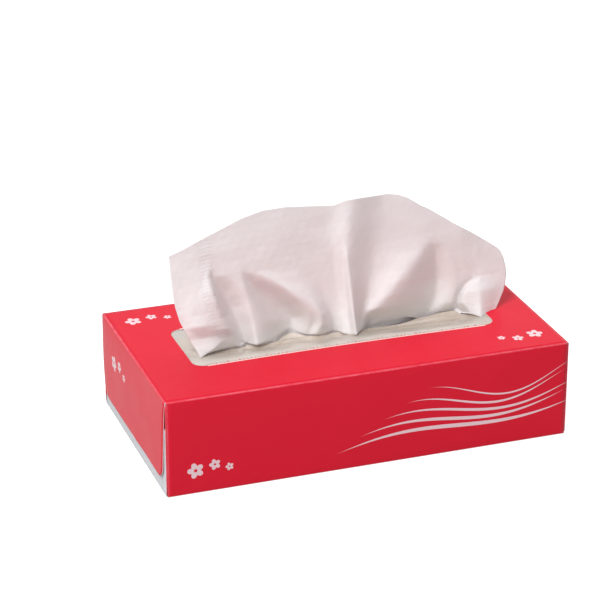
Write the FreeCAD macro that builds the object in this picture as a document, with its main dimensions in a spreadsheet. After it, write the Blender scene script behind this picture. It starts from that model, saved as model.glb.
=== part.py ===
"""Flat box of pop-up facial tissues, millimetres.

Frame: origin at the middle of the underside, X along the length, Y to the back, Z up.
Four loose pieces: the folded carton, the slit film window glued under its top panel, the stack of
interfolded sheets, and the sheet that stands half out of the slit. Nothing on it is hinged: the end
flaps are glued down and the perforated panel over the opening has been torn away.
"""

import FreeCAD, Part
import Sketcher
import math
import os
from collections import namedtuple

Vector = FreeCAD.Vector

document = FreeCAD.newDocument("tissue_box")
sheet = document.addObject("Spreadsheet::Sheet", "sizes")

SIZES = [
    ("box_length", 228.0, "outer face of one end flap to the other"),
    ("box_width", 122.0, "front panel to back panel"),
    ("box_height", 55.0, "bottom panel to top panel"),
    ("board", 0.46, "thickness of the folding boxboard"),
    ("ply_gap", 0.08, "glue line between two layers of board"),
    ("crease_radius", 1.1, "outer radius of every fold"),
    ("outer_flap_foot", 8.0, "lower edge of the outer end flap above the table"),
    ("outer_flap_shoulder", 1.6, "side of the outer flap to the box side, at its fold"),
    ("outer_flap_inset", 5.0, "side of the outer flap to the box side, at its foot"),
    ("outer_flap_corner", 7.0, "rounded lower corners of the outer flap"),
    ("inner_flap_height", 38.0, "upper edge of the inner end flap above the table"),
    ("inner_flap_inset", 1.4, "side of the inner flap to the box side"),
    ("dust_flap_reach", 48.0, "dust flap from the box side to its free edge"),
    ("dust_flap_inset", 1.7, "dust flap to the box top and bottom"),
    ("glue_lap", 14.0, "height of the lap glued inside the back panel"),
    ("opening_end_margin", 27.5, "opening to the end of the box"),
    ("opening_side_margin", 36.0, "opening to the side of the box"),
    ("opening_corner", 6.5, "rounded corners of the opening"),
    ("film", 0.06, "thickness of the window film"),
    ("film_lap", 11.0, "film glued beyond the opening"),
    ("film_glue", 0.06, "glue line between film and top panel"),
    ("film_sag", 3.4, "how far the lips of the slit hang below the top panel"),
    ("film_dip", 1.6, "how much deeper the front lip hangs where it is pushed open"),
    ("slit_end_margin", 4.5, "end of the slit to the end of the opening"),
    ("slit_half_gap", 1.5, "lip of the slit to the middle of the box"),
    ("slit_open_gap", 2.2, "how much further the front lip stands where it is pushed open"),
    ("stack_end_clearance", 6.4, "stack to the innermost end flap"),
    ("stack_side_clearance", 6.8, "stack to the front and back panels"),
    ("stack_headroom", 8.6, "top panel to the top of the stack"),
    ("stack_nose", 5.0, "rounded folds along the long sides of the stack"),
    ("stack_seat", 0.05, "stack to the bottom panel"),
    ("tissue_rise", 76.0, "highest point of the raised sheet above the top panel"),
    ("tissue_thickness", 0.3, "two crimped plies"),
    ("tissue_tuck", 1.0, "lower half of the raised sheet above the stack"),
    ("tissue_turn", 0.45, "radius of the fold in the tucked half"),
    ("sheet_to_slit_end", 4.0, "side of the gathered sheet to the end of the slit"),
]

sheet.set("A1", "driving dimensions")
for row, (alias, value, meaning) in enumerate(SIZES, start=2):
    sheet.set(f"A{row}", alias)
    sheet.set(f"B{row}", str(value))
    sheet.set(f"C{row}", meaning)
    sheet.setAlias(f"B{row}", alias)
document.recompute()


def size(alias):
    """The value that the sheet holds under this alias."""
    return float(getattr(sheet, alias))


def bound(text):
    """An expression in which each alias of the sheet is looked up in the sheet."""
    for alias in sorted((name for name, _, _ in SIZES), key=len, reverse=True):
        text = text.replace(f"[{alias}]", f"sizes.{alias}")
    return text


# Expressions that more than one feature uses
END_X = "[box_length] / 2"
SIDE_Y = "[box_width] / 2"
LAYER = "([board] + [ply_gap])"
SLEEVE_END = f"({END_X} - 2 * {LAYER} - [crease_radius])"
INNER_FACE = f"({END_X} - {LAYER})"
DUST_FACE = f"({END_X} - 2 * {LAYER})"


def plane(body, role):
    """One of the body's own origin planes."""
    return next(item for item in body.Origin.OriginFeatures if item.Role == role)


def closed_sketch(body, name, role, corners, offset=None):
    """A closed outline of straight lines on an origin plane, each corner bound to the sheet.

    corners holds (across, up) as expressions, and offset moves the sketch along its normal.
    """
    sketch = body.newObject("Sketcher::SketchObject", name)
    sketch.AttachmentSupport = [(plane(body, role), "")]
    sketch.MapMode = "FlatFace"
    if offset:
        sketch.setExpression("AttachmentOffset.Base.z", bound(offset))
    scratch = sketch.evalExpression
    points = [Vector(float(scratch(bound(x))), float(scratch(bound(y))), 0) for x, y in corners]
    for index, point in enumerate(points):
        sketch.addGeometry(Part.LineSegment(point, points[(index + 1) % len(points)]), False)
    for index in range(len(points)):
        following = (index + 1) % len(points)
        sketch.addConstraint(Sketcher.Constraint("Coincident", index, 2, following, 1))
    for index, (corner, point) in enumerate(zip(corners, points)):
        for kind, text, value in (("DistanceX", corner[0], point.x), ("DistanceY", corner[1], point.y)):
            number = sketch.addConstraint(Sketcher.Constraint(kind, -1, 1, index, 1, value))
            sketch.setExpression(f"Constraints[{number}]", bound(text))
    return sketch


def pad(body, name, sketch, length, symmetric=False, reverse=False):
    """A pad whose length is bound to the sheet."""
    feature = body.newObject("PartDesign::Pad", name)
    feature.Profile = sketch
    feature.setExpression("Length", bound(length))
    if symmetric:
        feature.SideType = "Symmetric"
    feature.Reversed = reverse
    sketch.Visibility = False
    document.recompute()
    return feature


def pocket(body, name, sketch, length, reverse=False):
    """A pocket whose depth is bound to the sheet."""
    feature = body.newObject("PartDesign::Pocket", name)
    feature.Profile = sketch
    feature.setExpression("Length", bound(length))
    feature.Reversed = reverse
    document.recompute()
    return feature


def mirrored(body, name, originals, role):
    """The same features on the other side of an origin plane."""
    feature = body.newObject("PartDesign::Mirrored", name)
    feature.Originals = originals
    feature.MirrorPlane = (plane(body, role), [""])
    body.Tip = feature
    document.recompute()
    return feature


def rounded(body, name, radius, chosen):
    """A fillet on the edges of the body's last feature that the test picks."""
    base = body.Tip
    names = [f"Edge{i}" for i, edge in enumerate(base.Shape.Edges, start=1) if chosen(edge)]
    feature = body.newObject("PartDesign::Fillet", name)
    feature.Base = (base, names)
    feature.setExpression("Radius", bound(radius))
    document.recompute()
    return feature


def near(value, target):
    """Two lengths agree."""
    return abs(value - target) < 1e-4


def runs_along(edge, axis):
    """A straight edge that follows the given axis."""
    box = edge.BoundBox
    spans = {"x": box.XLength, "y": box.YLength, "z": box.ZLength}
    return spans.pop(axis) > 1e-3 and all(span < 1e-4 for span in spans.values())


def make_carton():
    """The carton: a sleeve of four panels with a glue lap, and four flaps folded over each end."""
    body = document.addObject("PartDesign::Body", "carton")
    body.Label = "carton"
    board = size("board")

    outside = [(f"-{SIDE_Y}", "0"), (SIDE_Y, "0"), (SIDE_Y, "[box_height]"), (f"-{SIDE_Y}", "[box_height]")]
    sleeve_sketch = closed_sketch(body, "sleeve_outside", "YZ_Plane", outside)
    pad(body, "sleeve_block", sleeve_sketch, f"2 * {SLEEVE_END}", symmetric=True)
    rounded(body, "sleeve_creases", "[crease_radius]", lambda edge: runs_along(edge, "x"))

    inside_y = f"({SIDE_Y} - [board])"
    inside_z = "([box_height] - [board])"
    inside = [(f"-{inside_y}", "[board]"), (inside_y, "[board]"), (inside_y, inside_z), (f"-{inside_y}", inside_z)]
    hollow_sketch = closed_sketch(body, "sleeve_inside", "YZ_Plane", inside)
    hollow = pocket(body, "sleeve_hollow", hollow_sketch, f"2 * {SLEEVE_END}")
    hollow.SideType = "Symmetric"
    document.recompute()
    half_width = size("box_width") / 2 - board
    rounded(
        body, "inside_creases", "[crease_radius] - [board]",
        lambda edge: runs_along(edge, "x") and near(abs(edge.CenterOfMass.y), half_width)
        and (near(edge.CenterOfMass.z, board) or near(edge.CenterOfMass.z, size("box_height") - board)),
    )

    lap = [(f"({inside_y} - [board])", "[board] * 0.9"), (inside_y, "[board] * 0.9"),
           (inside_y, "[glue_lap]"), (f"({inside_y} - [board])", "[glue_lap]")]
    lap_sketch = closed_sketch(body, "lap_section", "YZ_Plane", lap)
    pad(body, "glue_lap_pad", lap_sketch, f"2 * ({SLEEVE_END} - [crease_radius])", symmetric=True)

    fold_top = "[box_height]"
    top_under = "([box_height] - [board])"
    outer_in = f"({END_X} - [board])"
    fold_low = "([box_height] - [crease_radius])"
    start_x = f"({SLEEVE_END} - [crease_radius])"
    outer_fold = [(start_x, fold_top), (END_X, fold_top), (END_X, fold_low), (outer_in, fold_low),
                  (outer_in, top_under), (start_x, top_under)]
    fold_sketch = closed_sketch(body, "outer_fold_section", "XZ_Plane", outer_fold)
    fold_width = f"2 * ({SIDE_Y} - [outer_flap_shoulder])"
    outer_fold_pad = pad(body, "outer_fold", fold_sketch, fold_width, symmetric=True)
    top_half = f"({SIDE_Y} - [outer_flap_shoulder])"
    foot_half = f"({SIDE_Y} - [outer_flap_inset])"
    outer_flap = [(f"-{top_half}", fold_low), (f"-{foot_half}", "[outer_flap_foot]"),
                  (foot_half, "[outer_flap_foot]"), (top_half, fold_low)]
    flap_sketch = closed_sketch(body, "outer_flap_outline", "YZ_Plane", outer_flap, offset=END_X)
    outer_flap_pad = pad(body, "outer_flap", flap_sketch, "[board]", reverse=True)

    inner_in = f"({INNER_FACE} - [board])"
    inner_fold = [(start_x, "0"), (INNER_FACE, "0"), (INNER_FACE, "[inner_flap_height]"),
                  (inner_in, "[inner_flap_height]"), (inner_in, "[board]"), (start_x, "[board]")]
    inner_sketch = closed_sketch(body, "inner_flap_section", "XZ_Plane", inner_fold)
    inner_width = f"2 * ({SIDE_Y} - [inner_flap_inset])"
    inner_flap_pad = pad(body, "inner_flap", inner_sketch, inner_width, symmetric=True)

    dust_in = f"({DUST_FACE} - [board])"
    dust_free = f"({SIDE_Y} - [dust_flap_reach])"
    dust = [(start_x, f"-{SIDE_Y}"), (DUST_FACE, f"-{SIDE_Y}"), (DUST_FACE, f"-{dust_free}"),
            (dust_in, f"-{dust_free}"), (dust_in, f"-{inside_y}"), (start_x, f"-{inside_y}")]
    dust_sketch = closed_sketch(body, "dust_flap_section", "XY_Plane", dust, offset="[dust_flap_inset]")
    dust_height = "[box_height] - 2 * [dust_flap_inset]"
    dust_pad = pad(body, "front_dust_flap", dust_sketch, dust_height)
    back_dust = [(x, y[1:]) for x, y in dust]
    back_sketch = closed_sketch(body, "back_dust_flap_section", "XY_Plane", back_dust, offset="[dust_flap_inset]")
    back_pad = pad(body, "back_dust_flap", back_sketch, dust_height)

    end_flaps = [outer_fold_pad, outer_flap_pad, inner_flap_pad, dust_pad, back_pad]
    mirrored(body, "other_end", end_flaps, "YZ_Plane")

    end_x = size("box_length") / 2
    layer = board + size("ply_gap")
    faces = {end_x: ("y", size("box_height")), end_x - layer: ("y", 0.0)}

    def fold_corner(edge):
        """An outer corner line where a flap leaves its panel."""
        middle = edge.CenterOfMass
        for face_x, (axis, level) in faces.items():
            if runs_along(edge, axis) and near(abs(middle.x), face_x) and near(middle.z, level):
                return True
        return (runs_along(edge, "z") and near(abs(middle.x), end_x - 2 * layer)
                and near(abs(middle.y), size("box_width") / 2))

    def fold_corner_inside(edge):
        """The same corner lines on the inner face of the board."""
        middle = edge.CenterOfMass
        for face_x, (axis, level) in faces.items():
            inner_level = abs(level - board)
            if runs_along(edge, axis) and near(abs(middle.x), face_x - board) and near(middle.z, inner_level):
                return True
        return (runs_along(edge, "z") and near(abs(middle.x), end_x - 2 * layer - board)
                and near(abs(middle.y), half_width))

    rounded(body, "end_creases", "[crease_radius]", fold_corner)
    rounded(body, "end_creases_inside", "[crease_radius] - [board]", fold_corner_inside)
    foot_y = size("box_width") / 2 - size("outer_flap_inset")
    rounded(
        body, "flap_corners", "[outer_flap_corner]",
        lambda edge: runs_along(edge, "x") and near(abs(edge.CenterOfMass.y), foot_y)
        and near(edge.CenterOfMass.z, size("outer_flap_foot")) and near(edge.Length, board),
    )

    half_x = "([box_length] / 2 - [opening_end_margin])"
    half_y = "([box_width] / 2 - [opening_side_margin])"
    hole = [(f"-{half_x}", f"-{half_y}"), (half_x, f"-{half_y}"), (half_x, half_y), (f"-{half_x}", half_y)]
    hole_sketch = closed_sketch(body, "opening_outline", "XY_Plane", hole, offset="[box_height]")
    before = body.Shape.Volume
    pocket(body, "opening", hole_sketch, "2 * [board]")
    assert body.Shape.Volume < before, "the opening cuts the top panel"
    hole_x = size("box_length") / 2 - size("opening_end_margin")
    hole_y = size("box_width") / 2 - size("opening_side_margin")
    rounded(
        body, "opening_corners", "[opening_corner]",
        lambda edge: runs_along(edge, "z") and near(abs(edge.CenterOfMass.x), hole_x)
        and near(abs(edge.CenterOfMass.y), hole_y),
    )
    return body


def swell(value, centre, spread):
    """A rounded hump of height one."""
    return math.exp(-((value - centre) / spread) ** 2)


def opening_half():
    """Half the opening's length and half its width."""
    along = size("box_length") / 2 - size("opening_end_margin")
    across = size("box_width") / 2 - size("opening_side_margin")
    return along, across


# Where a hand has pushed the front lip open, as a share of half the opening's length
PUSHED_AT = 0.52
PUSHED_SPREAD = 0.34


def film_level(x, y):
    """Upper face of the film: flat where it is glued, hanging towards the slit inside the opening."""
    along, across = opening_half()
    level = size("box_height") - size("board") - size("film_glue")
    if abs(x) >= along or abs(y) >= across:
        return level
    ends = 1 - (x / along) ** 6
    sides = math.cos(math.pi / 2 * y / across) ** 2
    sag = size("film_sag") + size("film_dip") * swell(x / along, PUSHED_AT, PUSHED_SPREAD)
    return level - sag * ends * sides


def slit_half():
    """Half the slit's length."""
    return opening_half()[0] - size("slit_end_margin")


def lips(x):
    """Front and back lip of the slit at one place along it."""
    share = x / slit_half()
    closing = math.sqrt(max(0.0, 1 - share ** 8))
    pushed = size("slit_open_gap") * swell(share, PUSHED_AT, PUSHED_SPREAD)
    gap = size("slit_half_gap")
    return -(gap + pushed) * closing, gap * closing


def spline_surface(net):
    """A smooth cubic surface drawn by a net of control points, which holds its border."""
    degree = 3
    knots = []
    counts = []
    for poles in (len(net), len(net[0])):
        spans = poles - degree
        knots.append([float(knot) for knot in range(spans + 1)])
        counts.append([degree + 1] + [1] * (spans - 1) + [degree + 1])
    surface = Part.BSplineSurface()
    surface.buildFromPolesMultsKnots(net, counts[0], counts[1], knots[0], knots[1], False, False, degree, degree)
    return surface


def add_shape(name, shape):
    """A piece whose form comes from formulas rather than from sketches."""
    feature = document.addObject("Part::Feature", name)
    feature.Label = name
    feature.Shape = shape
    feature.Placement = FreeCAD.Placement()
    return feature


FILM_COLUMNS = 17
FILM_ROWS = 11
LIP_POINTS = 13


def make_window_film():
    """The film: one thin sheet glued round the opening, with a slit along its middle."""
    along, across = opening_half()
    reach_x = along + size("film_lap")
    reach_y = across + size("film_lap")
    columns = [reach_x * (2 * i / (FILM_COLUMNS - 1) - 1) for i in range(FILM_COLUMNS)]
    rows = [reach_y * (2 * j / (FILM_ROWS - 1) - 1) for j in range(FILM_ROWS)]
    grid = [[Vector(x, y, film_level(x, y)) for y in rows] for x in columns]
    skin = spline_surface(grid).toShape()
    solid = skin.extrude(Vector(0, 0, -size("film")))

    half = slit_half()
    stations = [-half * math.cos(math.pi * i / (LIP_POINTS - 1)) for i in range(LIP_POINTS)]
    edges = []
    for side in (0, 1):
        line = Part.BSplineCurve()
        line.buildFromPoles([Vector(x, lips(x)[side], 0) for x in stations])
        edges.append(line.toShape())
    slit = Part.Face(Part.Wire(Part.__sortEdges__(edges)))
    cutter = slit.extrude(Vector(0, 0, size("box_height")))
    return add_shape("window_film", solid.cut(cutter).Solids[0])


def make_tissue_stack():
    """The stack of interfolded sheets, its long sides rounded by the folds."""
    body = document.addObject("PartDesign::Body", "tissue_stack")
    body.Label = "tissue_stack"
    side = f"({SIDE_Y} - [board] - [stack_side_clearance])"
    floor = "([board] + [stack_seat])"
    top = "([box_height] - [board] - [stack_headroom])"
    section = [(f"-{side}", floor), (side, floor), (side, top), (f"-{side}", top)]
    sketch = closed_sketch(body, "stack_section", "YZ_Plane", section)
    half = f"({DUST_FACE} - [board] - [stack_end_clearance])"
    pad(body, "stack_block", sketch, f"2 * {half}", symmetric=True)
    rounded(body, "stack_noses", "[stack_nose]", lambda edge: runs_along(edge, "x"))
    return body


def stack_half_length():
    """Half the length of the stack, which is half the width of a sheet."""
    layers = 3 * size("board") + 2 * size("ply_gap")
    return size("box_length") / 2 - layers - size("stack_end_clearance")


def stack_top():
    """Level of the uppermost sheet that lies flat."""
    return size("box_height") - size("board") - size("stack_headroom")


def stack_half_width():
    """Half the width of the stack."""
    return size("box_width") / 2 - size("board") - size("stack_side_clearance")


# A fold of the raised sheet: a cone that starts at its apex and opens down to the slit. Places across
# the sheet run from -1 to 1 and up it from 0 to 1, width is its spread at the foot, and depth is how
# far its middle stands behind (+) or before (-) the plane of the sheet there, in millimetres.
Fold = namedtuple("Fold", "apex_across apex_up foot_across width depth")

FOLDS = [
    Fold(-0.95, 0.60, -1.00, 0.12, -14.0),
    Fold(-0.82, 0.74, -0.72, 0.085, 13.0),
    Fold(-0.68, 0.64, -0.59, 0.07, -11.0),
    Fold(-0.61, 0.70, -0.30, 0.12, 12.0),
    Fold(-0.28, 0.44, -0.17, 0.09, -3.0),
    Fold(0.10, 1.30, 0.075, 0.13, -15.0),
    Fold(0.25, 1.25, 0.20, 0.09, 6.0),
    Fold(0.62, 0.82, 0.40, 0.14, 5.0),
    Fold(0.66, 0.80, 0.60, 0.08, -7.0),
    Fold(0.93, 0.52, 0.78, 0.07, 4.0),
    Fold(0.90, 0.62, 1.00, 0.13, -13.0),
]

# The free edge of the raised sheet: place across it, and level as a share of the highest point's
FREE_EDGE = [
    (-1.0, 0.72), (-0.8, 0.82), (-0.5, 0.945), (-0.2, 0.985), (0.0, 0.965), (0.3, 1.0),
    (0.4, 0.965), (0.5, 0.89), (0.65, 0.76), (0.88, 0.57), (1.0, 0.475),
]

# The view slants from the upper front left, so a fold that comes forward also moves along and up
SLANT_ALONG = 0.378
SLANT_UP = 0.441

EDGE_DRIFT = 2.0
FOOT_DRIFT = 5.5
FOOT_WIDER_THAN_SLIT = 3.0
EDGE_WIDER_THAN_FOOT = 10.0
RIGHT_EDGE_SWELL = 9.0
LEFT_EDGE_SWELL = 3.5
LIFT = 0.7
SHEET_COLUMNS = 41

# The tucked half of the sheet, millimetres from the slit
TUCK_END = 6.0
GATHER_DEPTH = 26.0
FOLD_SHORT_OF_STACK = 1.0


def fold_offset(across, up):
    """How far the folds carry a point of the raised sheet behind its plane."""
    total = 0.0
    for fold in FOLDS:
        share = min(max((fold.apex_up - up) / fold.apex_up, 0.0), 1.0)
        centre = fold.apex_across + (fold.foot_across - fold.apex_across) * share
        width = fold.width * (0.3 + 0.7 * share)
        total += fold.depth * share ** 0.9 * swell(across, centre, width)
    return total


def free_edge_share(across):
    """Level of the free edge, straight from one of its points to the next."""
    for (left, low), (right, high) in zip(FREE_EDGE, FREE_EDGE[1:]):
        if across <= right:
            return low + (high - low) * (across - left) / (right - left)
    return FREE_EDGE[-1][1]


def cover_level(x, y):
    """What the raised sheet lies on round the slit: the film, or the top panel past the opening."""
    along = opening_half()[0]
    ramp = min(max((abs(x) - along) / 8.0 + 1.0, 0.0), 1.0)
    return film_level(x, y) + (size("board") + size("film_glue")) * ramp


def raised_rows(across):
    """One column of the raised part of the sheet, from the slit to the free edge."""
    nip_x = across * nip_half()
    foot_x = FOOT_DRIFT + across * (slit_half() + FOOT_WIDER_THAN_SLIT)
    edge_x = EDGE_DRIFT + across * (slit_half() + FOOT_WIDER_THAN_SLIT + EDGE_WIDER_THAN_FOOT)
    rows = [(nip_x, 0.0, nip_level()), (nip_x, 0.0, cover_level(nip_x, 0.0) + LIFT / 3)]

    offset = fold_offset(across, 0.0)
    for share in (0.04, 0.4, 0.8, 1.0):
        y = offset * share
        x = nip_x + (foot_x + SLANT_ALONG * offset - nip_x) * share
        rows.append((x, y, cover_level(x, y) + LIFT + share ** 4))

    hem = rows[-1][2]
    top = size("box_height") + size("tissue_rise") * free_edge_share(across)
    for up in (0.05, 0.12, 0.22, 0.34, 0.48, 0.64, 0.82, 1.0):
        y = fold_offset(across, up)
        side_swell = RIGHT_EDGE_SWELL * max(across, 0.0) ** 4 - LEFT_EDGE_SWELL * max(-across, 0.0) ** 4
        x = foot_x + (edge_x - foot_x) * up + SLANT_ALONG * y + side_swell * math.sin(math.pi * up)
        level = hem + SLANT_UP * offset * (1 - up) + (top - hem) * up - SLANT_UP * y
        rows.append((x, y, level))
    return [Vector(*place) for place in rows]


def nip_half():
    """Half the width to which the slit gathers the sheet."""
    return slit_half() - size("sheet_to_slit_end")


def nip_level():
    """Level at which the sheet enters the slit, just under its lips."""
    under_panel = size("board") + size("film_glue") + size("film") + size("film_sag") + size("film_dip")
    return size("box_height") - under_panel - 0.3


def flat_facets(one, other):
    """Pairs of flat triangles between two rows of points that have as many points each."""
    faces = []
    for i in range(len(one) - 1):
        for corners in ((one[i], one[i + 1], other[i]), (one[i + 1], other[i + 1], other[i])):
            faces.append(Part.Face(Part.makePolygon(list(corners) + [corners[0]])))
    return faces


def thickened(columns, thickness):
    """A thin solid on both sides of the sheet that columns of points draw, in small flat facets."""
    last_column = len(columns) - 1
    last_row = len(columns[0]) - 1
    front = [[] for _ in columns[0]]
    back = [[] for _ in columns[0]]
    for i, column in enumerate(columns):
        for j, point in enumerate(column):
            along = columns[min(i + 1, last_column)][j] - columns[max(i - 1, 0)][j]
            up = column[min(j + 1, last_row)] - column[max(j - 1, 0)]
            normal = along.cross(up).normalize() if j else Vector(0, -1, 0)
            front[j].append(point + normal * (thickness / 2))
            back[j].append(point - normal * (thickness / 2))
    faces = flat_facets(front[0], back[0]) + flat_facets(front[-1], back[-1])
    for j in range(last_row):
        faces += flat_facets(front[j], front[j + 1]) + flat_facets(back[j], back[j + 1])
    for i in (0, last_column):
        faces += flat_facets([row[i] for row in front], [row[i] for row in back])
    shell = Part.makeShell(faces)
    shell.sewShape()
    solid = Part.Solid(shell)
    if solid.Volume < 0:
        solid.reverse()
    return solid


def tucked_half():
    """The lower half of the sheet: down from the slit, along the stack and folded back under itself."""
    half = size("tissue_thickness") / 2
    turn = size("tissue_turn")
    lower = stack_top() + size("tissue_tuck")
    upper = lower + 2 * turn
    fold_y = stack_half_width() - turn - half - FOLD_SHORT_OF_STACK
    bend = (nip_level() - upper) * 0.8
    crook = upper + bend

    def line(*ends):
        """A straight stretch of the section between two places (y, z)."""
        return Part.LineSegment(*[Vector(0, y, z) for y, z in ends]).toShape()

    def arc(centre, radius, angles):
        """A round stretch of the section about a centre (y, z), through three angles in degrees."""
        turned = [math.radians(angle) for angle in angles]
        places = [Vector(0, centre[0] + radius * math.cos(a), centre[1] + radius * math.sin(a)) for a in turned]
        return Part.Arc(*places).toShape()

    section = [
        line((half, nip_level()), (half, crook)),
        arc((bend, crook), bend - half, (180, 225, 270)),
        line((bend, upper + half), (fold_y, upper + half)),
        arc((fold_y, lower + turn), turn + half, (90, 0, -90)),
        line((fold_y, lower - half), (TUCK_END, lower - half)),
        line((TUCK_END, lower - half), (TUCK_END, lower + half)),
        line((TUCK_END, lower + half), (fold_y, lower + half)),
        arc((fold_y, lower + turn), turn - half, (-90, 0, 90)),
        line((fold_y, upper - half), (bend, upper - half)),
        arc((bend, crook), bend + half, (270, 225, 180)),
        line((-half, crook), (-half, nip_level())),
        line((-half, nip_level()), (half, nip_level())),
    ]
    width = stack_half_length()
    strip = Part.Face(Part.Wire(section)).extrude(Vector(2 * width, 0, 0))
    strip.translate(Vector(-width, 0, 0))
    for side in (-1, 1):
        corners = [(nip_half(), -GATHER_DEPTH), (nip_half(), bend), (width, GATHER_DEPTH),
                   (width + GATHER_DEPTH, GATHER_DEPTH), (width + GATHER_DEPTH, -GATHER_DEPTH)]
        points = [Vector(side * x, y, lower + turn) for x, y in corners]
        wedge = Part.Face(Part.makePolygon(points + points[:1]))
        strip = strip.cut(wedge.extrude(Vector(0, 0, size("box_height"))))
    return strip


def make_raised_tissue():
    """The raised sheet: its lower half folded in the box, its upper half gathered by the slit."""
    columns = [2 * i / (SHEET_COLUMNS - 1) - 1 for i in range(SHEET_COLUMNS)]
    grid = [raised_rows(across) for across in columns]
    raised = thickened(grid, size("tissue_thickness"))
    whole = raised.fuse(tucked_half())
    return add_shape("raised_tissue", whole.Solids[0])


pieces = [make_carton(), make_window_film(), make_tissue_stack(), make_raised_tissue()]
document.recompute()

for item in document.Objects:
    if "Invalid" in item.State or "Error" in item.State:
        raise RuntimeError(f"{item.Label} failed to build")
for piece in pieces:
    if piece.Shape.isNull() or not piece.Shape.isValid() or len(piece.Shape.Solids) != 1:
        raise RuntimeError(f"{piece.Label} is not one valid solid")

os.makedirs("parts", exist_ok=True)
for piece in pieces:
    piece.Shape.exportStep(f"parts/{piece.Label}.step")
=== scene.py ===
"""Looks of a flat box of pop-up facial tissues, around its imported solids.

The frame is that of the solids: origin at the middle of the underside, X along the length, Y to the
back, Z up. Blender works in metres; the shapes here are worked out in millimetres and scaled once,
where a mesh is made.
"""

import logging
import math
from dataclasses import dataclass, field
from enum import Enum
from functools import reduce
from typing import Any, Sequence

import bmesh
import bpy
import numpy as np
from mathutils import Matrix, Vector


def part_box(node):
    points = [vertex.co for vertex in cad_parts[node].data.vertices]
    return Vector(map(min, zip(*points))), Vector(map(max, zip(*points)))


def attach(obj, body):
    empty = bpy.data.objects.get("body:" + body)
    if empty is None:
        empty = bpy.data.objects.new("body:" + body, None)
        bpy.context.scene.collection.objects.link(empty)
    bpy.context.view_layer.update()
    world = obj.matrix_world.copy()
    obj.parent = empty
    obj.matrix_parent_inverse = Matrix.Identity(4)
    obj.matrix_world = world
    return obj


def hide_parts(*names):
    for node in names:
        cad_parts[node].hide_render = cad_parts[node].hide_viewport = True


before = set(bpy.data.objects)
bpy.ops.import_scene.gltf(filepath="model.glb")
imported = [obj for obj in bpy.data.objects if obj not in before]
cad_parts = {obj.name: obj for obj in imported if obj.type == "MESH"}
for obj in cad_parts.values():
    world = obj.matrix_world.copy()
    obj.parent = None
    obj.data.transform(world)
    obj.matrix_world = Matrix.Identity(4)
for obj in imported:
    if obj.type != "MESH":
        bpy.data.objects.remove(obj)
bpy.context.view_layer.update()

log = logging.getLogger("tissue_box")

MM = 0.001
QUARTER = math.pi / 2
FULL_TURN = 2.0 * math.pi
WHITE = (1.0, 1.0, 1.0, 1.0)
EYE = (-0.41592, -1.12701, 0.59116)
Array = np.ndarray
Pair = tuple[float, float]
Triple = tuple[float, float, float]


# Small tools for surfaces


def smoothstep(value: Array | float, low: float, high: float) -> Array:
    """Rise from 0 at low to 1 at high, level at both ends."""
    share = np.clip((np.asarray(value, float) - low) / (high - low), 0.0, 1.0)
    return share * share * (3.0 - 2.0 * share)


def swell(value: Array, centre: float, spread: float) -> Array:
    """A rounded hump of height one: e to the minus square of the distance over the spread."""
    return np.exp(-(((value - centre) / spread) ** 2))


def together(*parts: Array | float, axis: int = -1) -> Array:
    """The parts, spread over one another's shape and stacked along a new axis."""
    return np.stack(np.broadcast_arrays(*parts), axis=axis)


def between(start: Sequence[float], stop: Sequence[float], share: Array) -> Array:
    """Points on a straight line, each a share of the way from its start to its stop."""
    return np.asarray(start) + np.outer(share, np.subtract(stop, start))


def quarter(radius: float) -> tuple[Array, Array]:
    """A quarter turn: the radius times the sine, and the radius times one minus the cosine."""
    angle = np.linspace(0.0, QUARTER, 8)
    return radius * np.sin(angle), radius - radius * np.cos(angle)


def section_corner(half_width: float, low: float, high: float, radius: float, first: int) -> Array:
    """One rounded corner of an upright section: a circle's arc about a centre a radius inside.

    Args:
        half_width: half of the section's width.
        low: its lowest level.
        high: its highest level.
        radius: the corner's radius.
        first: angle in degrees where the quarter turn starts, which also tells which corner it is.

    Returns:
        A row of places across the box and a row of levels.
    """
    angle = math.radians(first) + np.linspace(0.0, QUARTER, 7)
    centre_y = (half_width - radius) * (1.0 if first in (0, 270) else -1.0)
    centre_z = high - radius if first < 180 else low + radius
    return together(centre_y + radius * np.cos(angle), centre_z + radius * np.sin(angle), axis=0)


@dataclass(frozen=True)
class Ripples:
    """Smooth unevenness: a sum of sine waves in seeded directions, wavelengths near one value."""

    seed: int
    wavelength: float
    height: float
    count: int = 9

    def __call__(self, a: Array, b: Array) -> Array:
        """Height of the ripples at places (a, b), the mean square of the sum set by the height."""
        draws = np.random.default_rng(self.seed)
        turns = draws.uniform(0.0, FULL_TURN, self.count)
        phases = draws.uniform(0.0, FULL_TURN, self.count)
        waves = FULL_TURN / (self.wavelength * draws.uniform(0.6, 1.7, self.count))
        total = np.zeros(np.broadcast(a, b).shape)
        for turn, phase, wave in zip(turns, phases, waves):
            total = total + np.sin(wave * (a * math.cos(turn) + b * math.sin(turn)) + phase)
        return self.height * total * math.sqrt(2.0 / self.count)


def grid_quads(rows: int, columns: int, start: int = 0, ring: bool = False) -> Array:
    """Corner numbers of the quads of a grid of points.

    Args:
        rows: how many rows of points the grid has.
        columns: how many points a row has.
        start: number of the grid's first point.
        ring: whether the last point of a row joins the first.

    Returns:
        One row of four corner numbers for each quad.
    """
    across = columns if ring else columns - 1
    i, j = np.meshgrid(np.arange(rows - 1), np.arange(across), indexing="ij")
    here, following = i * columns, (j + 1) % columns
    corners = (here + j, here + following, here + columns + following, here + columns + j)
    return start + np.stack(corners, axis=-1).reshape(-1, 4)


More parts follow.
